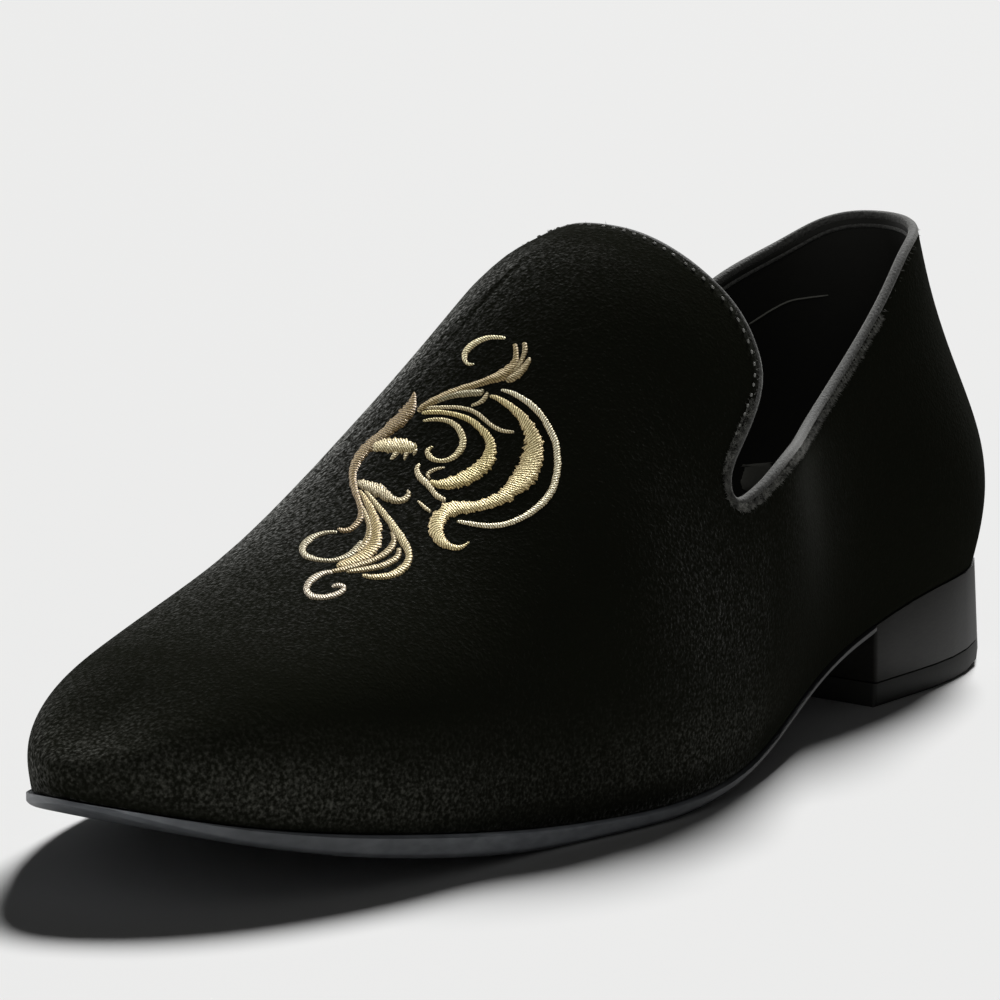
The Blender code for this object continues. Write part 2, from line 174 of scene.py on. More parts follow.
def copy_node(node, name):
    """A piece of its own with a CAD node's shape, as four-sided faces."""
    piece = bpy.data.objects.new(name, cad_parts[node].data.copy())
    bpy.context.scene.collection.objects.link(piece)
    piece.data.materials.clear()
    pick(piece)
    bpy.ops.object.mode_set(mode="EDIT")
    bpy.ops.mesh.select_all(action="SELECT")
    bpy.ops.mesh.remove_doubles(threshold=SAME_CORNER)
    bpy.ops.mesh.tris_convert_to_quads(face_threshold=FLAT_PAIR, shape_threshold=FLAT_PAIR)
    bpy.ops.object.mode_set(mode="OBJECT")
    print(name, "faces:", len(piece.data.polygons))
    return piece


def smooth(piece, levels):
    """Subdivides a piece for good."""
    pick(piece)
    rounded = piece.modifiers.new("rounded", "SUBSURF")
    rounded.levels = levels
    rounded.render_levels = levels
    bpy.ops.object.modifier_apply(modifier=rounded.name)
    bpy.ops.object.shade_smooth()


def bent_grid(name, rows, columns, place, flat):
    """A grid bent into shape: place(i, j) is a corner's point, and flat(i, j) is its UV in millimetres."""
    bpy.ops.object.select_all(action="DESELECT")
    bpy.ops.mesh.primitive_grid_add(x_subdivisions=rows, y_subdivisions=columns, size=1.0)
    piece = bpy.context.active_object
    piece.name = name
    corners = [
        (round((vertex.co.x + 0.5) * rows), round((vertex.co.y + 0.5) * columns))
        for vertex in piece.data.vertices
    ]
    for vertex, corner in zip(piece.data.vertices, corners):
        vertex.co = place(*corner)
    layer = piece.data.uv_layers[0].data
    for loop in piece.data.loops:
        layer[loop.index].uv = flat(*corners[loop.vertex_index])
    bpy.ops.object.shade_smooth()
    return piece


def close_up(piece):
    """Merges the two long edges and the two ends of a grid that was bent into a ring."""
    pick(piece)
    bpy.ops.object.mode_set(mode="EDIT")
    bpy.ops.mesh.select_all(action="SELECT")
    bpy.ops.mesh.remove_doubles(threshold=RING_JOINT)
    bpy.ops.mesh.normals_make_consistent(inside=False)
    bpy.ops.object.mode_set(mode="OBJECT")


def crease_sharp(piece, angle, weight=1.0):
    """Keeps the edges that are sharper than an angle crisp when the piece is subdivided."""
    pick(piece)
    bpy.ops.object.mode_set(mode="EDIT")
    bpy.ops.mesh.select_mode(type="EDGE")
    bpy.ops.mesh.select_all(action="DESELECT")
    bpy.ops.mesh.edges_select_sharp(sharpness=angle)
    bpy.ops.transform.edge_crease(value=weight)
    bpy.ops.object.mode_set(mode="OBJECT")


def join_pieces(pieces, name):
    """Joins pieces into the first one, with its place in its mesh."""
    pick(pieces[0])
    for piece in pieces:
        piece.select_set(True)
    bpy.ops.object.join()
    pieces[0].name = name
    bpy.ops.object.transform_apply(location=True, rotation=True, scale=True)
    return pieces[0]


def paint_corners(piece, name, colours):
    """Keeps one colour for each corner of a piece in an attribute, for its material to read."""
    paint = piece.data.color_attributes.new(name, "FLOAT_COLOR", "POINT")
    for point, colour in zip(paint.data, colours):
        point.color = (*colour, 1.0)


# %% Helpers for materials
def new_finish(name, colour, roughness, **sockets):
    """A material whose shader has these constant values on its own sockets."""
    made = bpy.data.materials.new(name)
    made.use_nodes = True
    shader = made.node_tree.nodes["Principled BSDF"]
    shader.inputs["Base Color"].default_value = (*colour, 1.0)
    shader.inputs["Roughness"].default_value = roughness
    for socket, value in sockets.items():
        shader.inputs[socket.replace("_", " ")].default_value = value
    return made


def add_noise(finish, scale, detail, stretch=(1.0, 1.0, 1.0)):
    """Noise on Object coordinates, with scale in lumps a metre."""
    nodes, links = finish.node_tree.nodes, finish.node_tree.links
    place = nodes.new("ShaderNodeTexCoord")
    mapping = nodes.new("ShaderNodeMapping")
    mapping.inputs["Scale"].default_value = stretch
    noise = nodes.new("ShaderNodeTexNoise")
    noise.inputs["Scale"].default_value = scale
    noise.inputs["Detail"].default_value = detail
    links.new(place.outputs["Object"], mapping.inputs["Vector"])
    links.new(mapping.outputs["Vector"], noise.inputs["Vector"])
    return noise.outputs["Fac"]


def add_ramp(finish, value, stops):
    """Turns a value into colour through stops of (place, colour)."""
    ramp = finish.node_tree.nodes.new("ShaderNodeValToRGB")
    finish.node_tree.links.new(value, ramp.inputs["Fac"])
    for element, (place, colour) in zip(ramp.color_ramp.elements, (stops[0], stops[-1])):
        element.position = place
        element.color = (*colour, 1.0)
    for place, colour in stops[1:-1]:
        ramp.color_ramp.elements.new(place).color = (*colour, 1.0)
    return ramp.outputs["Color"]


def add_bump(finish, height, depth, strength, over=None):
    """A bump whose full height is depth, in metres. over is another bump's output that it lies on."""
    bump = finish.node_tree.nodes.new("ShaderNodeBump")
    bump.inputs["Distance"].default_value = depth
    bump.inputs["Strength"].default_value = strength
    finish.node_tree.links.new(height, bump.inputs["Height"])
    if over is not None:
        finish.node_tree.links.new(over, bump.inputs["Normal"])
    return bump.outputs["Normal"]


def add_paint(finish, name):
    """The colour that paint_corners keeps under a name."""
    attribute = finish.node_tree.nodes.new("ShaderNodeAttribute")
    attribute.attribute_name = name
    return attribute.outputs["Color"]


def mix_colours(finish, kind, first, second):
    """Adds or multiplies two colours. A plain colour may stand in for the second."""
    mix = finish.node_tree.nodes.new("ShaderNodeMix")
    mix.data_type = "RGBA"
    mix.blend_type = kind
    mix.inputs["Factor"].default_value = 1.0
    finish.node_tree.links.new(first, mix.inputs["A"])
    if isinstance(second, tuple):
        mix.inputs["B"].default_value = (*second, 1.0)
    else:
        finish.node_tree.links.new(second, mix.inputs["B"])
    return mix.outputs["Result"]


def feed_shader(finish, socket, value):
    """Links a value to a socket of the finish's shader."""
    shader = finish.node_tree.nodes["Principled BSDF"]
    finish.node_tree.links.new(value, shader.inputs[socket])


def roughen(finish, height, depth, strength):
    """Gives the surface of a finish a bump."""
    feed_shader(finish, "Normal", add_bump(finish, height, depth, strength))


# %% [markdown]
# ## Velvet
#
# Velvet is a pile of short upright threads. Seen straight on it swallows light, and seen along the surface
# its tips catch it, so it is almost black with a grey sheen at grazing angles. The shader's own sheen is
# even all over, so the grey sheen is painted into the colour: a colour that grows toward grazing angles,
# times a share of painted sheen that is painted on the upper later, red along the ridge of the vamp, plus a
# flat grey of painted sheen where green marks a band low above the sole. The pile stands in tiny tufts, and
# a fine bump and a fine change of colour break the grey up into grains.

# %% Make the velvet
velvet = new_finish(
    "black_velvet",
    (0.003, 0.003, 0.0025),
    0.95,
    Specular_IOR_Level=0.0,
    Sheen_Weight=0.015,
    Sheen_Roughness=0.30,
    Sheen_Tint=(0.80, 0.82, 0.78, 1.0),
)
velvet_nodes, velvet_links = velvet.node_tree.nodes, velvet.node_tree.links
tufts = add_noise(velvet, 1400.0, 3.0)
clumps = add_noise(velvet, 330.0, 2.0)
pile = add_bump(velvet, tufts, 0.30 * MM, 0.7, over=add_bump(velvet, clumps, 0.35 * MM, 0.4))
feed_shader(velvet, "Normal", pile)
# A grey that grows toward grazing angles: painted sheen in the base colour.
nap = velvet_nodes.new("ShaderNodeLayerWeight")
nap.inputs["Blend"].default_value = 0.5
velvet_links.new(pile, nap.inputs["Normal"])
tips = add_ramp(
    velvet,
    nap.outputs["Facing"],
    (
        (0.28, (0.0, 0.0, 0.0)),
        (0.50, (0.025, 0.025, 0.024)),
        (0.68, (0.12, 0.12, 0.115)),
        (0.85, (0.25, 0.25, 0.24)),
    ),
)
sparkle = add_ramp(velvet, tufts, ((0.40, (0.03,) * 3), (0.55, (0.35,) * 3), (0.70, (1.0,) * 3)))

# %% Colour the velvet
# Painted sheen: the grazing grey where red is painted, and a flat grey where green is painted.
LOW_SHEEN_GREY = (0.036, 0.036, 0.031)
VELVET_BLACK = (0.0061, 0.0065, 0.0043)
sheen_shares = velvet_nodes.new("ShaderNodeSeparateColor")
velvet_links.new(add_paint(velvet, "painted_sheen"), sheen_shares.inputs["Color"])
ridge_sheen = mix_colours(velvet, "MULTIPLY", tips, sheen_shares.outputs["Red"])
low_sheen = mix_colours(velvet, "MULTIPLY", sheen_shares.outputs["Green"], LOW_SHEEN_GREY)
glints = mix_colours(velvet, "MULTIPLY", mix_colours(velvet, "ADD", ridge_sheen, low_sheen), sparkle)
feed_shader(velvet, "Base Color", mix_colours(velvet, "ADD", glints, VELVET_BLACK))
print("velvet nodes:", len(velvet_nodes))

# %% Make the lining
lining = new_finish("black_lining", (0.015, 0.015, 0.013), 0.8, Specular_IOR_Level=0.2)
roughen(lining, add_noise(lining, 900.0, 4.0), 0.15 * MM, 0.6)
print("cloths:", velvet.name, lining.name)

# %% [markdown]
# ## The upper
#
# The upper keeps the shape of the CAD wall. Its outside is velvet and its inside is lining, so the faces of
# the inner wall get the second material. The outer wall is found by spreading from its widest face up to
# the sharp edge of the rim.
#
# The CAD binding is a thick round tube. The real one is a thin cord, so the velvet reaches up into the
# space of the tube: the rim's corners are moved along the wall, by amounts that are charted round the lap
# of the opening. A lap has 36 steps on each side, from the middle of the tongue edge (0) to the back seam
# (36).

# %% Find the outer wall
RIM_ANGLE = math.radians(50)
upper = copy_node("upper", "velvet_upper")
upper.data.materials.append(velvet)
upper.data.materials.append(lining)


def outer_wall_faces(piece):
    """The outer wall's faces, starting from the face that reaches furthest to the outer side."""
    pick(piece)
    widest = max(range(len(piece.data.polygons)), key=lambda i: piece.data.polygons[i].center.x)
    bpy.ops.object.mode_set(mode="EDIT")
    bpy.ops.mesh.select_mode(type="FACE")
    bpy.ops.mesh.select_all(action="DESELECT")
    bpy.ops.object.mode_set(mode="OBJECT")
    piece.data.polygons.active = widest
    piece.data.polygons[widest].select = True
    bpy.ops.object.mode_set(mode="EDIT")
    bpy.ops.mesh.faces_select_linked_flat(sharpness=RIM_ANGLE)
    bpy.ops.object.mode_set(mode="OBJECT")
    corners = {corner for face in piece.data.polygons if face.select for corner in face.vertices}
    return {face.index for face in piece.data.polygons if corners.issuperset(face.vertices)}


outer_faces = outer_wall_faces(upper)
for face in upper.data.polygons:
    face.material_index = 0 if face.index in outer_faces else 1
print("outer wall faces:", len(outer_faces), "of", len(upper.data.polygons))


# %% Find the rim
TONGUE_AHEAD_OF = 20 * MM


def rim_corners(piece, faces):
    """The outer wall's top corners, in order from the tongue's middle round the outer side first."""
    used = {}
    for index in faces:
        for edge in piece.data.polygons[index].edge_keys:
            used[edge] = used.get(edge, 0) + 1
    beside = {}
    for one, other in (edge for edge, count in used.items() if count == 1):
        beside.setdefault(one, []).append(other)
        beside.setdefault(other, []).append(one)
    places = np.array([vertex.co for vertex in piece.data.vertices])
    front = max((i for i in beside if places[i][1] < TONGUE_AHEAD_OF), key=lambda i: places[i][2])
    step = max(beside[front], key=lambda i: places[i][0])
    lap = [front, step]
    while True:
        ahead = [i for i in beside[lap[-1]] if i != lap[-2]][0]
        if ahead == front:
            return lap
        lap.append(ahead)


def inner_partners(piece, lap, faces):
    """For each rim corner, the corner of the inner wall across the rim."""
    outer = {corner for index in faces for corner in piece.data.polygons[index].vertices}
    joined = {corner: [] for corner in lap}
    for edge in piece.data.edges:
        one, other = edge.vertices
        if one in joined and other not in outer:
            joined[one].append(other)
        if other in joined and one not in outer:
            joined[other].append(one)
    places = np.array([vertex.co for vertex in piece.data.vertices])
    return [min(joined[corner], key=lambda i: np.linalg.norm(places[i] - places[corner])) for corner in lap]


rim = rim_corners(upper, outer_faces)
across_rim = inner_partners(upper, rim, outer_faces)
STEPS_A_SIDE = len(rim) // 2
print("rim corners:", len(rim))

# %% Move the rim
OUTER_STRETCH = (
    (0, 1.8), (5, 1.8), (6, 1.3), (7, 0.7), (8, -0.2), (9, 0.1), (10, 1.0), (11, 1.7), (12, 1.7),
    (13, 1.2), (14, 0.7), (15, 0.3), (16, 1.2), (17, 1.9), (18, 3.0), (19, 3.2), (20, 2.5), (21, 1.7),
    (22, 1.4), (24, 1.3), (25, 1.2), (26, 1.0), (28, 0.8), (30, 0.7), (32, 0.9), (34, 1.7), (36, 2.7),
)
INNER_STRETCH = (
    (0, 1.8), (5, 1.8), (8, 0.6), (11, 1.6), (15, 0.5), (18, 3.4), (22, 2.0), (26, 0.4), (28, -1.0),
    (29, -2.6), (30, -3.9), (31, -4.2), (32, -3.7), (33, -2.2), (34, 0.2), (35, 1.9), (36, 2.7),
)


def unit(vectors):
    """The same directions with a length of one."""
    return vectors / np.linalg.norm(vectors, axis=-1, keepdims=True)


rim_out = np.array([upper.data.vertices[i].co for i in rim])
rim_in = np.array([upper.data.vertices[i].co for i in across_rim])
outward = unit(rim_out - rim_in)
run = unit(np.roll(rim_out, -1, axis=0) - np.roll(rim_out, 1, axis=0))
away = unit(np.cross(run, outward))
away *= np.sign(away[STEPS_A_SIDE][2])
steps = np.arange(len(rim))
stretch = np.where(
    steps <= STEPS_A_SIDE,
    np.interp(steps, *np.transpose(OUTER_STRETCH)),
    np.interp(len(rim) - steps, *np.transpose(INNER_STRETCH)),
)
for index, partner, way, amount in zip(rim, across_rim, away, stretch):
    upper.data.vertices[index].co += Vector(way) * float(amount) * MM
    upper.data.vertices[partner].co += Vector(way) * float(amount) * MM
rim_out += away * stretch[:, None] * MM
rim_in += away * stretch[:, None] * MM
upper.data.update()
crease_sharp(upper, RIM_ANGLE)
smooth(upper, 2)
print("rim moved by", stretch.min(), "to", stretch.max(), "mm")

# %% [markdown]
# ### The ridge and the painted sheen
#
# On the solid the ridge of the vamp shows the rows that it was lofted through. A smoothing modifier evens
# it out inside one oval on top of the foot. Then each corner of the upper gets its shares of painted sheen:
# along the ridge, and in a band low above the sole. Both are charted along the shoe, from the toe at -150
# mm backward. The low band follows the sole's edge and fades upward, and low on the sides the ridge sheen
# is left out.

# %% Even the ridge
RIDGE_MIDDLE = (-6.0, -20.0)
RIDGE_REACH = (15.0, 32.0)
RIDGE_ABOVE = 60 * MM
RIDGE_FADE = 3.0
RIDGE_SHARE = 0.6
RIDGE_ROUNDS = 30
ridge = upper.vertex_groups.new(name="ridge")
for vertex in upper.data.vertices:
    offset = [(vertex.co[axis] / MM - RIDGE_MIDDLE[axis]) / RIDGE_REACH[axis] for axis in (0, 1)]
    nearness = 1.0 - math.hypot(*offset)
    if vertex.co.z > RIDGE_ABOVE and nearness > 0:
        ridge.add([vertex.index], min(1.0, nearness * RIDGE_FADE), "REPLACE")
evened = upper.modifiers.new("evened", "SMOOTH")
evened.vertex_group = ridge.name
evened.factor = RIDGE_SHARE
evened.iterations = RIDGE_ROUNDS
pick(upper)
bpy.ops.object.modifier_apply(modifier=evened.name)
print("smoothing rounds:", RIDGE_ROUNDS)

# %% Paint the sheen
# Where the painted sheen lies along the ridge, charted along the shoe from the toe.
RIDGE_SHEEN_ALONG = (
    (-150, 0.55), (-142, 0.36), (-115, 0.07), (-80, 0.47), (-50, 1.6), (-25, 1.8), (5, 0.1), (25, 0.03),
)
LOW_SIDE = ((20, 0.75), (45, 0.0))
LOW_SIDE_FROM = ((-100, 0.0), (-70, 1.0))
# Where the band of painted sheen lies low above the sole, charted along the shoe and by height.
LOW_SHEEN_ALONG = (
    (-150, 0.9), (-125, 1.7), (-95, 1.25), (-60, 0.65), (-30, 0.95), (-5, 0.6), (20, 0.1), (60, 0.0),
)
LOW_SHEEN_ABOVE = ((0.5, 0.0), (4, 1.0), (9, 0.9), (15, 0.25), (22, 0.0))
SOLE_TOP = ((-149, 19), (-130, 13), (-100, 8), (-60, 5), (0, 7), (60, 20))


def chart(place, stops):
    """The value of a chart of (place, value) at a place, with straight lines between its stops."""
    return float(np.interp(place, *np.transpose(stops)))


def sheen_share(place):
    """How much painted sheen a place gets, along the ridge and low above the sole, as the red and green of
    a colour.
    """
    along = place.y / MM
    above_sole = place.z / MM - chart(along, SOLE_TOP)
    low_side = chart(along, LOW_SIDE_FROM) * chart(place.z / MM, LOW_SIDE)
    painted_sheen = chart(along, RIDGE_SHEEN_ALONG) * (1.0 - low_side)
    low_sheen_share = chart(along, LOW_SHEEN_ALONG) * chart(above_sole, LOW_SHEEN_ABOVE)
    return painted_sheen, low_sheen_share, 0.0


paint_corners(upper, "painted_sheen", [sheen_share(vertex.co) for vertex in upper.data.vertices])
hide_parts("upper")
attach(upper, "root")
print("corners painted:", len(upper.data.vertices))

# %% [markdown]
# ## The binding
#
# A thin cord of dark grey tape closes the top edge. Its path runs midway between the two edges of the rim.
# Subdividing turns the creased rim into a B-spline, so the path is the same kind of curve, and the cord
# then sits on the rim all the way round. The cord is a grid bent into a ring.

# %% Follow the rim
CURVE_STEPS = 8


def rounded_lap(corners):
    """A closed cubic B-spline over the corners, with CURVE_STEPS points a corner."""
    made = []
    for i in range(len(corners)):
        before, start, end, after = (corners[(i + k) % len(corners)] for k in (-1, 0, 1, 2))
        for t in np.arange(CURVE_STEPS) / CURVE_STEPS:
            made.append((
                before * (1 - t) ** 3 + start * (3 * t**3 - 6 * t**2 + 4)
                + end * (-3 * t**3 + 3 * t**2 + 3 * t + 1) + after * t**3
            ) / 6)
    return np.array(made)


lap_out = rounded_lap(rim_out)
lap_in = rounded_lap(rim_in)
lap_middle = (lap_out + lap_in) / 2
lap_outward = unit(lap_out - lap_in)
lap_run = unit(np.roll(lap_middle, -1, axis=0) - np.roll(lap_middle, 1, axis=0))
lap_away = unit(np.cross(lap_run, lap_outward))
lap_away *= np.sign(lap_away[STEPS_A_SIDE * CURVE_STEPS][2])
lap_length = np.concatenate([[0.0], np.cumsum(np.linalg.norm(
    np.diff(np.vstack([lap_middle, lap_middle[:1]]), axis=0), axis=1))]) / MM
print("lap of the opening:", round(lap_length[-1], 1), "mm")

# %% Make the tape and the cord
tape = new_finish(
    "grey_tape",
    (0.040, 0.040, 0.038),
    0.75,
    Specular_IOR_Level=0.25,
    Sheen_Weight=0.35,
    Sheen_Roughness=0.4,
    Sheen_Tint=(0.75, 0.75, 0.72, 1.0),
)
tape_fibres = add_noise(tape, 1800.0, 4.0)
tape_greys = ((0.30, (0.020, 0.020, 0.018)), (0.70, (0.070, 0.070, 0.065)))
feed_shader(tape, "Base Color", add_ramp(tape, tape_fibres, tape_greys))
roughen(tape, tape_fibres, 0.3 * MM, 0.8)

CORD_HALF_WIDTH = 1.12 * MM
CORD_HALF_HEIGHT = 1.0 * MM
CORD_RAISE = 0.25 * MM
CORD_SIDES = 14


def cord_point(i, j):
    """A point of the cord's skin, i steps round the opening and j sides round the cord."""
    turn = 2 * math.pi * j / CORD_SIDES
    i %= len(lap_middle)
    return Vector(
        lap_middle[i] + lap_away[i] * (CORD_RAISE + CORD_HALF_HEIGHT * math.sin(turn))
        + lap_outward[i] * CORD_HALF_WIDTH * math.cos(turn)
    )


binding = bent_grid(
    "corded_binding", len(lap_middle), CORD_SIDES, cord_point,
    lambda i, j: (lap_length[i], j / CORD_SIDES * math.tau * CORD_HALF_WIDTH / MM),
)
close_up(binding)
binding.data.materials.append(tape)
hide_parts("collar_binding")
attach(binding, "root")
print("binding faces:", len(binding.data.polygons))

# %% [markdown]
# ### The row of stitches
#
# The tape is sewn on with grey thread. Along the tongue edge, from one notch to the other, each stitch
# shows as a bead that presses into the velvet just below the cord. One bead is made from a sphere and then
# copied.

# %% Sew the beads
STITCH_PITCH = 2.6
STITCH_SIZE = (0.46 * MM, 0.26 * MM, 0.24 * MM)
STITCH_DROP = 1.5 * MM
STITCH_RAISE = 0.16 * MM
STITCHED_STEPS = 10.5
thread = new_finish("grey_thread", (0.17, 0.17, 0.155), 0.6, Specular_IOR_Level=0.4)
roughen(thread, add_noise(thread, 2600.0, 2.0), 0.15 * MM, 0.8)


def on_velvet(place):
    """The nearest point of the upper's skin to a place, and the skin's normal there."""
    _, where, normal, _ = upper.closest_point_on_mesh(Vector(place))
    return where, normal


bpy.ops.object.select_all(action="DESELECT")
bpy.ops.mesh.primitive_uv_sphere_add(segments=10, ring_count=6, radius=1.0)
bead = bpy.context.active_object
bead.scale = STITCH_SIZE
bpy.ops.object.transform_apply(location=True, rotation=True, scale=True)
bpy.ops.object.shade_smooth()
bead.data.materials.append(thread)
sewn = []
reach = np.interp(STITCHED_STEPS * CURVE_STEPS, np.arange(len(lap_length)), lap_length)
for along in np.arange(-reach, reach, STITCH_PITCH):
    i = int(np.searchsorted(lap_length, along % lap_length[-1])) % len(lap_middle)
    where, normal = on_velvet(lap_out[i] - lap_away[i] * STITCH_DROP)
    way = Vector(lap_run[i])
    side = normal.cross(way).normalized()
    copy = bead.copy()
    copy.data = bead.data.copy()
    bpy.context.scene.collection.objects.link(copy)
    copy.matrix_world = Matrix.Translation(where + normal * STITCH_RAISE) @ Matrix((
        side.cross(normal), side, normal)).transposed().to_4x4()
    sewn.append(copy)
bpy.data.objects.remove(bead)
stitches = join_pieces(sewn, "edge_stitches")
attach(stitches, "root")
print("stitches:", len(sewn))

# %% [markdown]
# ### The pile beside the cord
#
# Where the tape holds the velvet down, its pile splays out into short hairs along the cord. Each hair is
# one thin three-sided spike, and they are set with a seeded random draw.

# %% Splay the pile
HAIRS = 12000
FRINGE_SHARE = 0.97
FRINGE_STEPS = (9.0, 27.0)
HAIR_LENGTH = (0.5 * MM, 1.3 * MM)
HAIR_WIDTH = 0.09 * MM
HAIR_DROP = (0.1 * MM, 1.3 * MM)
HAIR_TANGLE = 0.35
HAIR_STAND = 0.8
HAIR_SWEEP = (-0.1, 1.1)
HAIR_ROOT = 0.1 * MM
HAIR_FACES = ((0, 2, 1), (0, 1, 3), (1, 2, 3), (2, 0, 3))
FOOT_BACK = 0.5
FOOT_ASIDE = 0.87
draw = np.random.default_rng(7)
hair_corners, hair_faces = [], []
for _ in range(HAIRS):
    if draw.random() < FRINGE_SHARE:
        i = round(draw.uniform(*FRINGE_STEPS) * CURVE_STEPS * draw.choice((-1, 1))) % len(lap_middle)
    else:
        i = int(draw.integers(len(lap_middle)))
    where, normal = on_velvet(lap_out[i] - lap_away[i] * draw.uniform(*HAIR_DROP))
    lean = Vector(draw.normal(0.0, HAIR_TANGLE, 3))
    way = (normal * HAIR_STAND - Vector(lap_away[i]) * draw.uniform(*HAIR_SWEEP) + lean).normalized()
    wide = way.cross(Vector(lap_away[i])).normalized() * HAIR_WIDTH
    deep = way.cross(wide).normalized() * HAIR_WIDTH
    foot = where - normal * HAIR_ROOT
    first = len(hair_corners)
    tip = foot + way * draw.uniform(*HAIR_LENGTH)
    behind = foot - wide * FOOT_BACK
    hair_corners += [foot + wide, behind + deep * FOOT_ASIDE, behind - deep * FOOT_ASIDE, tip]
    hair_faces += [tuple(first + corner for corner in face) for face in HAIR_FACES]
hair_mesh = bpy.data.meshes.new("splayed_pile")
hair_mesh.from_pydata([tuple(corner) for corner in hair_corners], [], hair_faces)
hairs = bpy.data.objects.new("splayed_pile", hair_mesh)
bpy.context.scene.collection.objects.link(hairs)
pick(hairs)
bpy.ops.object.mode_set(mode="EDIT")
bpy.ops.mesh.select_all(action="SELECT")
bpy.ops.mesh.normals_make_consistent(inside=False)
bpy.ops.object.mode_set(mode="OBJECT")
fuzz = new_finish("pile_hair", (0.035, 0.035, 0.032), 0.8, Specular_IOR_Level=0.2)
fuzz_greys = ((0.35, (0.035, 0.035, 0.031)), (0.70, (0.21, 0.21, 0.19)))
feed_shader(fuzz, "Base Color", add_ramp(fuzz, add_noise(fuzz, 700.0, 2.0), fuzz_greys))
hairs.data.materials.append(fuzz)
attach(hairs, "root")
print("hairs:", HAIRS)

# %% [markdown]
# ### The tape's inner edge
#
# Inside, the tape is folded over the rim and its edge shows as a fine raised line that runs along with the
# cord.

# %% Lay the inner edge
FOLD_DROP = 1.9 * MM
FOLD_INWARD = 0.5 * MM
FOLD_HALF_WIDTH = 0.42 * MM
FOLD_SIDES = 8
fold_path = []
for middle, way, out in zip(lap_in, lap_away, lap_outward):
    where, normal = on_velvet(middle - way * FOLD_DROP - out * FOLD_INWARD)
    fold_path.append((np.array(where), np.array(normal)))


def fold_point(i, j):
    """A point of the folded edge's skin, i steps round the opening and j sides round the fold."""
    i %= len(fold_path)
    turn = 2 * math.pi * j / FOLD_SIDES
    where, normal = fold_path[i]
    return Vector(where + FOLD_HALF_WIDTH * (lap_away[i] * math.sin(turn) + normal * math.cos(turn)))


fold = bent_grid(
    "folded_tape_edge", len(fold_path), FOLD_SIDES, fold_point,
    lambda i, j: (lap_length[i], j / FOLD_SIDES * math.tau * FOLD_HALF_WIDTH / MM),
)
close_up(fold)
fold.data.materials.append(tape)
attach(fold, "root")
print("fold faces:", len(fold.data.polygons))

# %% [markdown]
# ## Sole, heel, lift and insole
#
# The outsole is one thin slab. Its sharp edges get a crease, so that subdividing rounds its outline and
# leaves its edge nearly crisp. Under the tip the crease is weak, because there the real sole is rounded
# off. The heel and its lift get bevels in place of that, because the heel's top is cut out for the sole.
# The photograph shows the sole's edge paler in some places than in others, so painted highlight and
# painted shade are charted along the shoe, as a factor on the rubber's grey.

# %% Make the rubber
sole_rubber = new_finish("sole_rubber", (0.030, 0.033, 0.036), 0.55, Specular_IOR_Level=0.5)
sole_mottle = add_noise(sole_rubber, 260.0, 4.0, stretch=(1.0, 1.0, 2.5))
sole_greys = ((0.35, (0.042, 0.045, 0.049)), (0.70, (0.064, 0.068, 0.073)))
sole_grey = add_ramp(sole_rubber, sole_mottle, sole_greys)
# The rubber's grey times the painted highlight and painted shade.
sole_with_painted_light = mix_colours(sole_rubber, "MULTIPLY", sole_grey, add_paint(sole_rubber, "painted_light"))
feed_shader(sole_rubber, "Base Color", sole_with_painted_light)
roughen(sole_rubber, sole_mottle, 0.08 * MM, 0.5)

heel_stack = new_finish("heel_stack", (0.018, 0.017, 0.015), 0.55, Specular_IOR_Level=0.2)
heel_grain = add_noise(heel_stack, 500.0, 3.0, stretch=(1.0, 1.0, 4.0))
heel_browns = ((0.35, (0.0060, 0.0058, 0.0046)), (0.70, (0.0100, 0.0097, 0.0078)))
feed_shader(heel_stack, "Base Color", add_ramp(heel_stack, heel_grain, heel_browns))
roughen(heel_stack, heel_grain, 0.06 * MM, 0.5)

lift_rubber = new_finish("lift_rubber", (0.008, 0.0083, 0.0068), 0.6, Specular_IOR_Level=0.25)
roughen(lift_rubber, add_noise(lift_rubber, 900.0, 3.0), 0.08 * MM, 0.5)

sock = new_finish("sock_leather", (0.020, 0.020, 0.018), 0.6, Specular_IOR_Level=0.3)
roughen(sock, add_noise(sock, 700.0, 5.0), 0.12 * MM, 0.6)
print("finishes:", sole_rubber.name, heel_stack.name, lift_rubber.name, sock.name)

# %% Dress the outsole and the insole
SOLE_CREASE = math.radians(25)
SOLE_CREASE_WEIGHT = 0.72
TIP_FROM = -118 * MM
TIP_DEPTH = 1.8
TIP_CREASE = 0.1
# Painted highlight and painted shade on the sole's edge, charted along the shoe.
SOLE_PAINTED_LIGHT = (
    (-150, 1.0), (-146, 2.8), (-138, 1.9), (-129, 1.2), (-100, 1.5), (-78, 2.6), (-45, 1.7), (-9, 0.5),
    (10, 0.2),
)
outsole = copy_node("outsole", "rubber_outsole")
outsole.data.materials.append(sole_rubber)
crease_sharp(outsole, SOLE_CREASE, SOLE_CREASE_WEIGHT)
places = [vertex.co.copy() for vertex in outsole.data.vertices]
under_tip = [
    place.y < TIP_FROM and place.z / MM < chart(place.y / MM, SOLE_TOP) - TIP_DEPTH for place in places
]
creases = outsole.data.attributes["crease_edge"].data
for edge in outsole.data.edges:
    if under_tip[edge.vertices[0]] and under_tip[edge.vertices[1]]:
        creases[edge.index].value = TIP_CREASE
smooth(outsole, 3)
bpy.ops.object.shade_smooth_by_angle(angle=SOLE_CREASE)
paint_corners(
    outsole, "painted_light", [(chart(vertex.co.y / MM, SOLE_PAINTED_LIGHT),) * 3 for vertex in outsole.data.vertices]
)
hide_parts("outsole")
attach(outsole, "root")

insole = copy_node("insole", "sock_lining")
insole.data.materials.append(sock)
crease_sharp(insole, SOLE_CREASE)
smooth(insole, 1)
bpy.ops.object.shade_smooth_by_angle(angle=SOLE_CREASE)
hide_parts("insole")
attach(insole, "root")

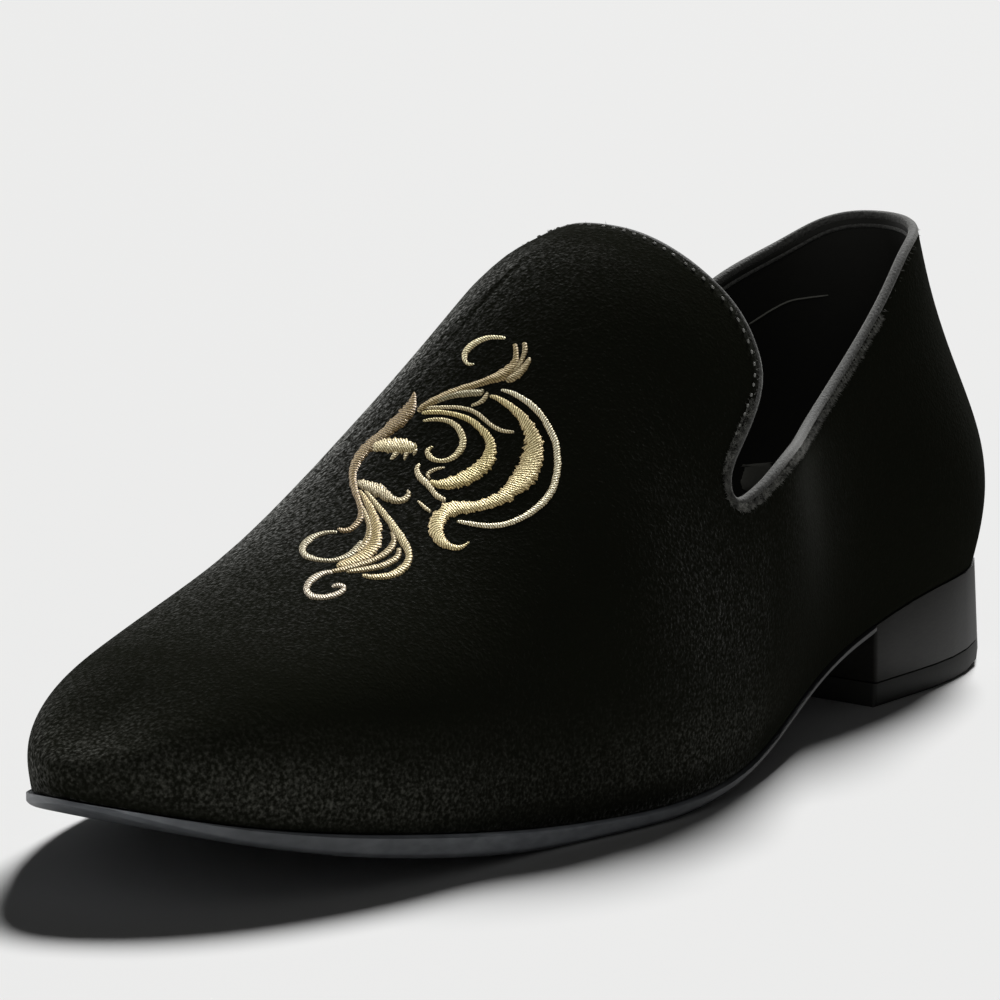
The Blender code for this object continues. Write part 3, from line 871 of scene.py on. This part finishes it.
# %% Dress the heel and its lift
CORNER_BEVEL = 1.0 * MM
EDGE_BEVEL = 0.2 * MM
CORNER_HEIGHT = 2.0 * MM
UPRIGHT_SHARE = 0.8
ROUNDED_FROM = math.radians(50)
BROKEN_FROM = math.radians(40)
SMOOTH_BELOW = math.radians(30)


def add_bevel(piece, width, segments, way):
    """Bevels the weighted or the sharp edges of a piece for good."""
    edge = piece.modifiers.new("broken_edge", "BEVEL")
    edge.width = width
    edge.segments = segments
    edge.limit_method = way
    edge.angle_limit = BROKEN_FROM
    bpy.ops.object.modifier_apply(modifier=edge.name)


def bevelled(node, name, finish):
    """A copy of a hard node with its upright corners rounded and its other sharp edges just broken."""
    piece = copy_node(node, name)
    piece.data.materials.append(finish)
    bpy.ops.object.mode_set(mode="EDIT")
    bpy.ops.mesh.select_mode(type="EDGE")
    bpy.ops.mesh.select_all(action="DESELECT")
    bpy.ops.mesh.edges_select_sharp(sharpness=ROUNDED_FROM)
    bpy.ops.transform.edge_bevelweight(value=1.0)
    bpy.ops.object.mode_set(mode="OBJECT")
    weights = piece.data.attributes["bevel_weight_edge"].data
    rounded = 0
    for edge in piece.data.edges:
        one, other = (piece.data.vertices[i].co for i in edge.vertices)
        upright = abs(one.z - other.z)
        if upright < CORNER_HEIGHT or upright < UPRIGHT_SHARE * (one - other).length:
            weights[edge.index].value = 0.0
        else:
            rounded += weights[edge.index].value > 0
    print(name, "rounded corners:", rounded)
    add_bevel(piece, CORNER_BEVEL, 4, "WEIGHT")
    add_bevel(piece, EDGE_BEVEL, 2, "ANGLE")
    bpy.ops.object.shade_smooth_by_angle(angle=SMOOTH_BELOW)
    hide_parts(node)
    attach(piece, "root")
    return piece


heel = bevelled("heel", "heel_block", heel_stack)
lift = bevelled("heel_lift", "heel_tread", lift_rubber)

# %% [markdown]
# ## The embroidery
#
# Gold thread lies on the vamp in leaves and curls. Each curl is one stroke of satin stitch: a band of
# threads side by side, thick in the middle and thin at its ends. A stroke is charted as the photograph
# shows it, as places across and down in its pixels and the stroke's width there. It is then laid on the
# velvet along the camera's rays, so that it stays where the chart has it and still follows the vamp from
# every side.

# %% Chart the strokes
EMBROIDERY = {
    "top_curl": (
        (507, 338, 4.5), (490, 337.5, 5.5), (477, 342, 7.5), (467, 350, 8), (464.5, 358, 7),
        (468, 364, 4.5), (475, 364, 2.5),
    ),
    "leaf_lobe_left": (
        (514.5, 343, 6), (516, 352, 7), (515, 362, 9), (508, 371, 13), (498, 377, 13), (488, 380.5, 9),
        (475, 385, 8.5), (462, 389, 9), (450, 394, 10), (438, 399, 9), (426, 405, 8), (417, 412, 6),
    ),
    "leaf_lobe_middle": ((524, 341.5, 6), (525, 349, 7), (523, 357, 6), (519, 366, 6), (512, 375, 6)),
    "leaf_lobe_right": ((530, 357, 4), (528, 362, 7), (522, 370, 9), (514, 377, 10), (505, 381, 7)),
    "leaf_underside": (
        (484, 389, 3), (480, 392.5, 8), (470, 393, 9), (458, 394, 9), (446, 397, 8), (434, 402, 7),
    ),
    "link": ((470, 406, 4), (479, 403, 5), (485, 398, 6), (488, 391, 4)),
    "stem": (
        (414.5, 391, 2.5), (413.5, 399, 8), (410, 408, 14), (403, 417, 17), (393, 426, 15),
        (383, 435, 13), (373, 443, 13), (364, 451, 13), (357, 461, 12), (353, 471, 10), (353, 481, 10),
        (355, 491, 9), (358.5, 501, 8), (361, 510, 8), (360.5, 518, 8), (356, 525, 7.5), (349, 530, 6.5),
        (342, 530.5, 6), (337, 528, 3.5),
    ),
    "side_leaf": (
        (370, 447, 12), (382, 446, 15), (393, 445.5, 17), (404, 446, 16), (412, 447.5, 13),
        (417, 449, 7),
    ),
    "side_lobe_low": ((399, 450, 8), (394, 456, 6), (390, 460, 3.5)),
    "side_lobe_middle": ((408, 450, 8), (405.5, 456, 5), (404, 461, 2.5)),
    "side_lobe_end": ((415, 447, 7), (415, 452, 5), (412.5, 456, 3)),
    "hooked_leaf": (
        (356, 482, 8), (364, 485, 12), (374, 489, 15), (383, 493.5, 15), (390, 498, 11), (398, 501, 8),
        (405, 499, 7.5), (409, 494, 6), (406.5, 489.5, 3.5),
    ),
    "left_loop": (
        (338, 532, 4), (328, 532.5, 4.5), (318, 535, 6), (309, 540, 8), (302.5, 547.5, 9),
        (304.5, 554.5, 8.5), (313, 558.5, 6.5), (324, 560.5, 5), (336, 560, 5.5), (348, 556, 8),
        (357, 549, 9), (363, 541, 8),
    ),
    "fan_outer": (
        (364, 489, 4), (372, 499, 6.5), (380, 509, 8), (388, 519, 9), (395, 529, 10), (401, 538, 11),
        (407, 548, 10), (409, 558, 9), (404.5, 567, 10), (395, 573.5, 9), (384, 576.5, 7.5),
        (372, 577, 6.5), (361, 575, 4),
    ),
    "fan_second": (
        (399, 547, 6), (398, 556, 8), (390, 562.5, 8), (380, 566.5, 7.5), (370, 568.5, 7),
        (358, 570.5, 6), (345, 572, 4),
    ),
    "fan_third": (
        (391, 531, 4), (394, 540, 7), (391, 548, 9), (383, 555, 8), (374, 560, 7), (364, 563.5, 7),
        (352, 567, 7), (340, 570, 6), (329, 572, 4),
    ),
    "fan_middle": (
        (359, 489, 4), (365, 499, 8), (371, 510, 11), (375, 522, 13), (376.5, 534, 14), (374, 545, 15),
        (366, 554, 15), (355, 560, 12), (344, 564, 10), (336, 566, 5),
    ),
    "fan_inner": (
        (361, 505, 5), (366, 516, 7), (369.5, 528, 8), (367, 540, 9), (359, 549.5, 8), (349, 554, 5),
    ),
    "bottom_curl": (
        (335, 572, 5), (325, 573, 6), (316, 577, 8), (309, 583, 8.5), (306.5, 590, 8.5), (312, 596, 8),
        (322, 597.5, 6.5), (333, 595.5, 7), (342, 591.5, 7), (344, 587, 6), (338, 585.5, 6),
        (331, 587, 4),
    ),
    "inner_ring": (
        (421, 421, 3.5), (437, 419.5, 5), (449, 421.5, 6.5), (458, 428, 8.5), (463, 438, 9),
        (461.5, 448, 9), (455, 456, 7.5), (446, 460.5, 5.5), (437, 460.5, 5.5), (430, 457, 8),
        (427.5, 452, 7), (430, 448.5, 4.5), (434, 446.5, 2),
    ),
    "second_ring": (
        (420, 413, 5), (437, 412, 6), (450, 413.5, 6), (462, 416.5, 7), (473, 422, 8), (482, 430, 9.5),
        (489, 439, 11), (491, 449, 13), (488, 459, 16), (481, 468, 18), (470, 476, 17), (458, 481, 16),
        (446, 484, 13), (437, 484, 9), (429, 481, 5),
    ),
    "top_hook": (
        (424, 408, 5), (443, 407.5, 5), (456, 407.5, 5), (468, 409.5, 5.5), (477, 413.5, 6),
        (485, 420, 6), (493, 426.5, 5.5), (503, 431, 5), (515, 432, 4),
    ),
    "small_hook": ((447, 467, 2.5), (437, 469, 4), (430, 472, 5), (427.5, 475.5, 4.5), (431, 479, 3)),
    "root": (
        (420, 463, 4), (417, 469, 6.5), (419, 476, 8), (426, 483, 8.5), (432, 490, 7), (437, 496, 7),
        (447, 501, 6),
    ),
    "great_crescent": (
        (489, 396, 4), (497, 398, 6.5), (507, 404, 8.5), (517, 412, 11), (526, 423, 14), (532, 435, 19),
        (534, 448, 23), (532, 461, 26), (526, 473, 26), (518, 484, 23), (507, 494, 18), (494, 501, 14.5),
        (480, 505.5, 13), (466, 507.5, 14.5), (453, 509, 17), (443, 514, 18), (437, 523, 18),
        (436.5, 533, 16.5), (441, 541, 13), (449, 546, 8.5), (457, 548, 6.5), (464, 546, 4.5),
        (470, 541.5, 2.5),
    ),
    "outer_arc": (
        (500, 389.5, 3.5), (512, 393, 6), (523, 399, 7.5), (533, 406.5, 8), (542, 416.5, 8),
        (549, 428, 8.5), (554.5, 440, 8.5), (557, 452, 8.5), (557.5, 465, 9), (556, 478, 9),
        (552, 490, 9), (545, 500, 9), (536, 508.5, 8.5), (525, 516, 7.5), (512, 522, 7),
        (498, 525.5, 6.5), (483, 525.5, 6), (469, 523.5, 5.5), (456, 521, 4),
    ),
    "left_hook": ((417, 500, 3), (421, 504, 4.5), (426, 508.5, 5), (432, 512.5, 4)),
}
print("strokes:", len(EMBROIDERY))

# %% Follow a chart
PIXELS_A_FOCAL_LENGTH = FOCAL_LENGTH / FILM_WIDTH * PHOTO_WIDTH
MM_A_PIXEL = CAMERA_DISTANCE / PIXELS_A_FOCAL_LENGTH / MM


def photo_ray(across, down):
    """The way from the camera through a pixel of the photograph."""
    half = PHOTO_WIDTH / 2
    return (RIGHT * (across - half) - UP * (down - half) - BACK * PIXELS_A_FOCAL_LENGTH).normalized()


def flowing(points, steps_between):
    """Points along a smooth curve through the given ones."""
    points = np.array(points, float)
    padded = np.vstack([2 * points[0] - points[1], points, 2 * points[-1] - points[-2]])
    made = []
    for i in range(len(points) - 1):
        before, start, end, after = padded[i:i + 4]
        for t in np.arange(steps_between) / steps_between:
            made.append(0.5 * (
                2 * start + (end - before) * t + (2 * before - 5 * start + 4 * end - after) * t**2
                + (3 * start - before - 3 * end + after) * t**3
            ))
    made.append(points[-1])
    return np.array(made)


print("one pixel on the shoe:", round(MM_A_PIXEL, 3), "mm")

# %% [markdown]
# ### Tones and bands
#
# The photograph's thread runs from brown gold at the stem to nearly silver at the thin rings, so each
# stroke has a tone that the thread's colour is multiplied by. Toward its two long edges a band sinks into
# the velvet, and there its colour gets painted shade, darker and browner. A wide band has a ragged edge,
# from a seeded random draw, as satin stitches differ in length.

# %% Choose the tones
# The colour of painted shade toward a band's long edges, as a factor on its tone.
SHADED_EDGE = (0.42, 0.30, 0.16)
PLAIN_GOLD = (1.10, 1.05, 0.86)
PALE_GOLD = (1.22, 1.18, 1.08)
THIN_STROKE = 9.5
STROKE_TONES = {
    "stem": (0.55, 0.43, 0.26), "leaf_lobe_left": (0.74, 0.63, 0.41),
    "leaf_lobe_middle": (0.85, 0.77, 0.60), "leaf_lobe_right": (0.85, 0.77, 0.60),
    "leaf_underside": (0.76, 0.76, 0.68), "great_crescent": (1.45, 1.36, 1.05),
    "second_ring": (1.30, 1.22, 0.82), "inner_ring": (1.30, 1.26, 1.05),
    "fan_middle": (0.80, 0.68, 0.39), "fan_inner": (0.66, 0.57, 0.37), "fan_third": (0.62, 0.54, 0.36),
    "fan_second": (0.66, 0.59, 0.42), "fan_outer": (0.92, 0.85, 0.62), "hooked_leaf": (0.80, 0.75, 0.62),
    "outer_arc": (1.75, 1.80, 1.90), "side_leaf": (1.20, 1.15, 0.95), "left_loop": (0.70, 0.69, 0.64),
    "bottom_curl": (0.82, 0.80, 0.88), "top_curl": (1.50, 1.50, 1.38),
}
print("strokes with a tone of their own:", len(STROKE_TONES))

# %% Lay a stroke on the velvet
PIXELS_A_STEP = 1.6
FACES_ACROSS = 8
THREAD_SINK = 0.18 * MM
THREAD_RISE = 0.24 * MM
WIDE_STROKE_RISE = 0.24 * MM
WIDE_STROKE = 16.0
SLIMMER = 0.9
NARROWEST = 0.5
ROWS_AT_AN_END = 3
RAGGED = 0.12
stitch_draw = np.random.default_rng(11)


def lay_stroke(name, points, rays_from=0.0):
    """One band of satin stitch, as a grid bent onto the upper, with its length and width as its UV.

    rays_from is how far from the camera the rays start, so that a band can lie on a wall behind another.
    """
    gaps = np.linalg.norm(np.diff(np.array(points)[:, :2], axis=0), axis=1)
    spine = flowing(points, max(3, round(float(gaps.mean()) / PIXELS_A_STEP)))
    rows = len(spine) - 1
    heading = np.gradient(spine[:, :2], axis=0)
    heading /= np.linalg.norm(heading, axis=1, keepdims=True)
    side = np.stack([-heading[:, 1], heading[:, 0]], axis=1)
    ragged = stitch_draw.normal(0.0, RAGGED, (rows + 1, 2)) * np.minimum(spine[:, 2:] / WIDE_STROKE, 1.0)
    widest = float(spine[:, 2].max())
    fullnesses = []

    def corner(i, j):
        """The place of one corner of the band, i rows along and j faces across."""
        share = 2 * j / FACES_ACROSS - 1
        width = max(spine[i, 2] - SLIMMER, NARROWEST)
        reach = share * (1.0 + ragged[i, 0 if share < 0 else 1])
        pixel = spine[i, :2] + side[i] * reach * width / 2
        ray = photo_ray(*pixel)
        hit, where, normal, _ = upper.ray_cast(EYE + ray * rays_from, ray)
        if not hit:
            raise RuntimeError(f"{name} leaves the upper at {pixel}")
        fullness = math.sqrt(max(0.0, 1 - share**2))
        fullnesses.append(fullness)
        rise = THREAD_RISE + WIDE_STROKE_RISE * min(1.0, width / WIDE_STROKE)
        end = min(1.0, min(i, rows - i) / ROWS_AT_AN_END)
        return where + normal * ((rise + THREAD_SINK) * fullness * math.sqrt(end) - THREAD_SINK)

    pixels_along = np.cumsum(np.linalg.norm(np.diff(spine[:, :2], axis=0), axis=1))
    length = np.concatenate([[0.0], pixels_along]) * MM_A_PIXEL
    stroke = bent_grid(
        name, rows, FACES_ACROSS, corner,
        lambda i, j: (length[i], (j / FACES_ACROSS - 0.5) * spine[i, 2] * MM_A_PIXEL),
    )
    tone = np.array(STROKE_TONES.get(name, PALE_GOLD if widest < THIN_STROKE else PLAIN_GOLD))
    # Painted shade: the tone darkens and browns toward the band's two long edges.
    edge = np.array(SHADED_EDGE)
    paint_corners(stroke, "tone", [tone * (fullness + (1 - fullness) * edge) for fullness in fullnesses])
    return stroke


# %% [markdown]
# ### Gold thread
#
# The thread is a thin metal strip wound round a core, so it is a rough metal that glints. The threads lie
# side by side across each stroke at a slant. A wave along the stroke's own UV map draws them in the bump,
# and in the colour as painted shade in the gaps between them and painted highlights on their crests.

# %% Make the gold thread
THREAD_PITCH = 0.45
WAVE_LENGTH = 0.314
THREAD_SLANT = math.radians(28)
gold = new_finish("gold_thread", (0.50, 0.42, 0.22), 0.48, Metallic=0.3)
gold_nodes, gold_links = gold.node_tree.nodes, gold.node_tree.links
gold_place = gold_nodes.new("ShaderNodeTexCoord")
gold_turn = gold_nodes.new("ShaderNodeMapping")
gold_turn.inputs["Rotation"].default_value = (0.0, 0.0, THREAD_SLANT)
gold_links.new(gold_place.outputs["UV"], gold_turn.inputs["Vector"])
gold_wave = gold_nodes.new("ShaderNodeTexWave")
gold_wave.inputs["Scale"].default_value = WAVE_LENGTH / THREAD_PITCH
gold_wave.inputs["Distortion"].default_value = 2.2
gold_wave.inputs["Detail"].default_value = 2.0
gold_wave.inputs["Detail Scale"].default_value = 2.5
gold_links.new(gold_turn.outputs["Vector"], gold_wave.inputs["Vector"])
gold_streak = gold_nodes.new("ShaderNodeTexNoise")
gold_streak.inputs["Scale"].default_value = 2.2
gold_streak.inputs["Detail"].default_value = 3.0
gold_links.new(gold_turn.outputs["Vector"], gold_streak.inputs["Vector"])
gold_height = gold_nodes.new("ShaderNodeMix")
gold_height.inputs["Factor"].default_value = 0.45
gold_links.new(gold_wave.outputs["Fac"], gold_height.inputs["A"])
gold_links.new(gold_streak.outputs["Fac"], gold_height.inputs["B"])
# The thread's gold varies in streaks, with painted shade in the gaps and painted highlights on the crests.
gold_with_painted_light = add_ramp(
    gold,
    gold_height.outputs["Result"],
    (
        (0.15, (0.07, 0.045, 0.012)),
        (0.38, (0.32, 0.26, 0.13)),
        (0.62, (0.56, 0.50, 0.32)),
        (0.85, (0.84, 0.80, 0.64)),
    ),
)
feed_shader(gold, "Base Color", mix_colours(gold, "MULTIPLY", gold_with_painted_light, add_paint(gold, "tone")))
roughen(gold, gold_height.outputs["Result"], 0.16 * MM, 0.9)
print("thread pitch:", THREAD_PITCH, "mm")

# %% Embroider the vamp
strokes = [lay_stroke(name, points) for name, points in EMBROIDERY.items()]
embroidery = join_pieces(strokes, "gold_embroidery")
bpy.ops.object.shade_smooth()
embroidery.data.materials.append(gold)
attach(embroidery, "root")
print("embroidery faces:", len(embroidery.data.polygons))

# %% [markdown]
# ## Inside
#
# Through the opening the lining shows a curved seam, and low behind the notch a patch of paler cloth. Both
# are bands laid like the stitching, on the far inner wall: their rays start behind the near one.

# %% Line the inside
PAST_NEAR_WALL = 0.885
LINING_MARKS = {
    "lining_seam": (
        (748, 325, 2.6), (761, 316.5, 2.8), (775, 308, 2.8), (790, 301, 2.8), (806, 298, 2.8),
        (830, 295, 2.4),
    ),
    "lining_patch": ((757, 463, 36), (757, 468, 33), (753, 476, 26), (748, 484, 18), (745, 491, 8)),
}
cloth = new_finish("pale_lining", (0.12, 0.12, 0.105), 0.85, Specular_IOR_Level=0.2)
roughen(cloth, add_noise(cloth, 1100.0, 4.0), 0.2 * MM, 0.7)
marks = [lay_stroke(name, points, PAST_NEAR_WALL) for name, points in LINING_MARKS.items()]
lining_marks = join_pieces(marks, "lining_marks")
lining_marks.data.materials.append(cloth)
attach(lining_marks, "root")
print("lining marks:", len(LINING_MARKS))

# %% [markdown]
# ## Lights for the shoe alone
#
# The light that catches the nap and the one beside the camera are meant for the shoe alone. The pieces are
# gathered in a collection that takes them, so that they draw no second shadow and leave the first one dark.

# %% Keep two lights off the floor
dressed = bpy.data.collections.new("lit_pieces")
for piece in (upper, binding, stitches, hairs, fold, outsole, insole, heel, lift, embroidery, lining_marks):
    dressed.objects.link(piece)
nap_light.light_linking.receiver_collection = dressed
front_light.light_linking.receiver_collection = dressed
